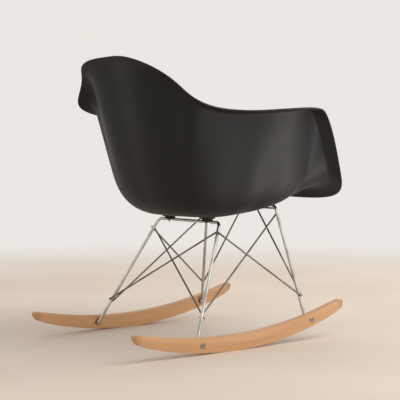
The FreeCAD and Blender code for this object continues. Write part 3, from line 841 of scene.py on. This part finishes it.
def section_points(edge):
    """One section from the seat's middle out to the edge, as reach and height."""
    out = Vector((edge.x, edge.y - SEAT_Y))
    reach = out.length
    out.normalize()
    width, hang, top_curve, foot_curve, fullness = section_sizes(degrees(acos(max(-1, min(1, -out.y)))))
    foot = foot_reach(out.x, out.y) * fullness
    edge_point = Vector((reach, edge.z - SEAT_Z))
    wall_top = edge_point + Vector((-width, hang))
    foot_point = Vector((foot, seat_rise(foot * out.x, foot * out.y)))
    seat_point = Vector((foot / 2, seat_rise(foot / 2 * out.x, foot / 2 * out.y)))
    seat_run = foot_point - seat_point
    wall = wall_top - foot_point
    foot_curve = min(foot_curve, CURVE_LIMIT * wall.length)
    top_curve = min(top_curve, CURVE_LIMIT * wall.length)
    foot_start = foot_point - seat_run * min(foot_curve / seat_run.length, SEAT_CURVE_LIMIT)
    foot_end = foot_point + wall.normalized() * foot_curve
    roll_start = wall_top - wall.normalized() * top_curve
    rise = [foot_end.lerp(roll_start, k / WALL_STEPS) for k in range(1, WALL_STEPS)]
    seat = [Vector((SEAT_FLAT_RADIUS, 0)), seat_point]
    foot_bend = curved_steps(foot_start, foot_point, foot_end, FOOT_STEPS)
    return seat + foot_bend + rise + curved_steps(roll_start, wall_top, edge_point, ROLL_STEPS)


def offset_section(section, distance):
    moved = []
    for k, point in enumerate(section):
        way = (section[min(k + 1, len(section) - 1)] - section[max(k - 1, 0)]).normalized()
        square = Vector((way.y, -way.x)) if k else Vector((0, -1))
        moved.append(point + square * distance)
    return moved


def shell_rows(edges, distance, shift):
    columns = []
    for edge in edges:
        out = Vector((edge.x, edge.y - SEAT_Y, 0)).normalized()
        section = offset_section(section_points(edge), distance)
        columns.append([Vector((out.x * p.x, shift + SEAT_Y + out.y * p.x, SEAT_Z + p.y)) for p in section])
    return [list(row) for row in zip(*columns)]


def drawn_ring(row):
    """Control points, twice as many as the ring's own, of the smooth closed curve through a ring."""
    row = np.array(row)
    poles = row
    for _ in range(POLE_TURNS):
        poles = (row * 6 - np.roll(poles, 1, 0) - np.roll(poles, -1, 0)) / 4
    after = np.roll(poles, -1, 0)
    twice = np.empty((2 * len(row), 3))
    twice[0::2] = (np.roll(poles, 1, 0) + 6 * poles + after) / 8
    twice[1::2] = (poles + after) / 2
    return twice


def seat_shell(plastic):
    """The bucket, drawn ring by ring from the seat's middle over the rolled edge and back under."""
    shift = TOUCH_Y - MIDDLE_TO_TOUCH
    edges = edge_points()
    inner = shell_rows(edges, 0.0, shift)
    outer = shell_rows(edges, SHELL_WALL, shift)
    turn = [[], []]
    for here, before, under in zip(inner[-1], inner[-2], outer[-1]):
        across = under - here
        out = (here - before).normalized() * (across.length * LIP_ROUND_SHARE)
        turn[0].append(here + across * LIP_ROUND_SHARE + out)
        turn[1].append(under - across * LIP_ROUND_SHARE + out)
    mesh = bmesh.new()
    rings = []
    for row in inner + turn + outer[::-1]:
        verts = [mesh.verts.new(point) for point in drawn_ring(row)]
        rings.append([mesh.edges.new((a, b)) for a, b in zip(verts, verts[1:] + verts[:1])])
    for ring, following in zip(rings, rings[1:]):
        bmesh.ops.bridge_loops(mesh, edges=ring + following)
    for ring in (rings[0], rings[-1]):
        bmesh.ops.edgeloop_fill(mesh, edges=ring)
    piece = finished("seat_shell_moulded", mesh, plastic, "seat_shell", 180)
    smooth = piece.modifiers.new("smooth", "SUBSURF")
    smooth.levels = smooth.render_levels = SHELL_SMOOTHING
    keep_worked(piece)
    return piece


# Room, light and camera

def room():
    """A pale floor that fades into the plain wall tone with distance."""
    finish = Finish("pale_floor")
    x, y, _ = finish.axes()
    away = (x * x + y * y) ** 0.5
    mottle = finish.noise(1.6, 3.0)
    shade = finish.colour(mottle.eased(0.3, 0.7), FLOOR_TONE, FLOOR_LIGHT)
    finish.set(base_color=shade, roughness=0.55 + 0.1 * mottle)
    tree = finish.tree
    glow = tree.nodes.new("ShaderNodeEmission")
    glow.inputs["Color"].default_value = WALL_TONE
    mix = tree.nodes.new("ShaderNodeMixShader")
    out = next(node for node in tree.nodes if node.type == "OUTPUT_MATERIAL")
    finish.feed(mix.inputs[0], away.eased(*FLOOR_FADE))
    tree.links.new(finish.shader.outputs[0], mix.inputs[1])
    tree.links.new(glow.outputs[0], mix.inputs[2])
    tree.links.new(mix.outputs[0], out.inputs["Surface"])
    mesh = bmesh.new()
    bmesh.ops.create_circle(mesh, cap_ends=True, radius=FLOOR_RADIUS, segments=96)
    data = bpy.data.meshes.new("floor")
    mesh.to_mesh(data)
    mesh.free()
    data.materials.append(finish.material)
    floor = bpy.data.objects.new("floor", data)
    bpy.context.scene.collection.objects.link(floor)


def light():
    """An even pale studio: a large soft window, a weak fill and a small glow from beside the chair."""
    scene = bpy.context.scene
    world = bpy.data.worlds.new("studio")
    scene.world = world
    world.use_nodes = True
    tree = world.node_tree
    tree.nodes.clear()
    paths = tree.nodes.new("ShaderNodeLightPath")
    sky = tree.nodes.new("ShaderNodeBackground")
    sky.inputs["Color"].default_value = SKY_COLOUR
    sky.inputs["Strength"].default_value = SKY_STRENGTH
    wall = tree.nodes.new("ShaderNodeBackground")
    wall.inputs["Color"].default_value = WALL_TONE
    seen = paths.outputs["Is Camera Ray"]
    for ray in ("Is Glossy Ray", "Is Transmission Ray"):
        either = tree.nodes.new("ShaderNodeMath")
        either.operation = "MAXIMUM"
        tree.links.new(seen, either.inputs[0])
        tree.links.new(paths.outputs[ray], either.inputs[1])
        seen = either.outputs[0]
    mix = tree.nodes.new("ShaderNodeMixShader")
    out = tree.nodes.new("ShaderNodeOutputWorld")
    tree.links.new(seen, mix.inputs[0])
    tree.links.new(sky.outputs[0], mix.inputs[1])
    tree.links.new(wall.outputs[0], mix.inputs[2])
    tree.links.new(mix.outputs[0], out.inputs["Surface"])
    for name, place, target, size, power, spread in LAMPS:
        lamp = bpy.data.lights.new(name, "AREA")
        lamp.shape = "SQUARE"
        lamp.size = size
        lamp.energy = power
        lamp.spread = radians(spread)
        lamp.color = LAMP_COLOUR
        holder = bpy.data.objects.new(name, lamp)
        holder.location = place
        holder.visible_camera = False
        aim = Vector(target) - Vector(place)
        holder.rotation_euler = aim.to_track_quat("-Z", "Y").to_euler()
        scene.collection.objects.link(holder)


def camera():
    scene = bpy.context.scene
    lens = bpy.data.cameras.new("view")
    lens.lens = CAMERA_LENS
    lens.sensor_width = CAMERA_SENSOR
    holder = bpy.data.objects.new("view", lens)
    holder.location = (CAMERA_X, TOUCH_Y + CAMERA_BEHIND, CAMERA_Z)
    holder.rotation_euler = (pi / 2 - CAMERA_PITCH, 0, CAMERA_YAW + pi)
    scene.collection.objects.link(holder)
    scene.camera = holder
    scene.view_settings.view_transform = "Standard"


def base():
    rod = bright_plating("bright_rod", (164, 162, 158), (206, 205, 201))
    # The wires take the same plating as the rods in darker tones: painted shade for how dark the thin wires
    # look.
    wire = bright_plating("wire_plating_painted_shade", (104, 101, 95), (134, 130, 122))
    steel = plated_steel()
    rubber = black_rubber()
    beech = lacquered_beech()
    for end in ("rear", "front"):
        leg_frame(end, rod)
    front_spreader((leg_foot("front", 1), leg_top("front", 1)), wire)
    for side in (-1, 1):
        name = side_name(side)
        rear_leg = (leg_foot("rear", side), leg_top("rear", side))
        front_leg = (leg_foot("front", side), leg_top("front", side))
        other_leg = (leg_foot("rear", -side), leg_top("rear", -side))
        rocker(side, beech)
        lapped_wire("side_wire_forward_" + name, front_leg, FRONT_LOW_Z, rear_leg, REAR_HIGH_Z, side, wire)
        front_high_z = front_leg[1].z - FRONT_HIGH_BELOW_BAR
        lapped_wire("side_wire_back_" + name, rear_leg, REAR_LOW_Z, front_leg, front_high_z, side, wire)
        lapped_wire("back_wire_" + name, rear_leg, REAR_LOW_Z, other_leg, REAR_HIGH_Z, 1, wire)
        front_wire(side, front_leg, wire)
        for end in ("rear", "front"):
            leg_boss(end, side, steel)
            rocker_bolt(end, side, steel)
            shock_mount(end, side, rubber)
            mount_screw(end, side, steel)


camera()
room()
light()
base()
seat_shell(moulded_plastic())
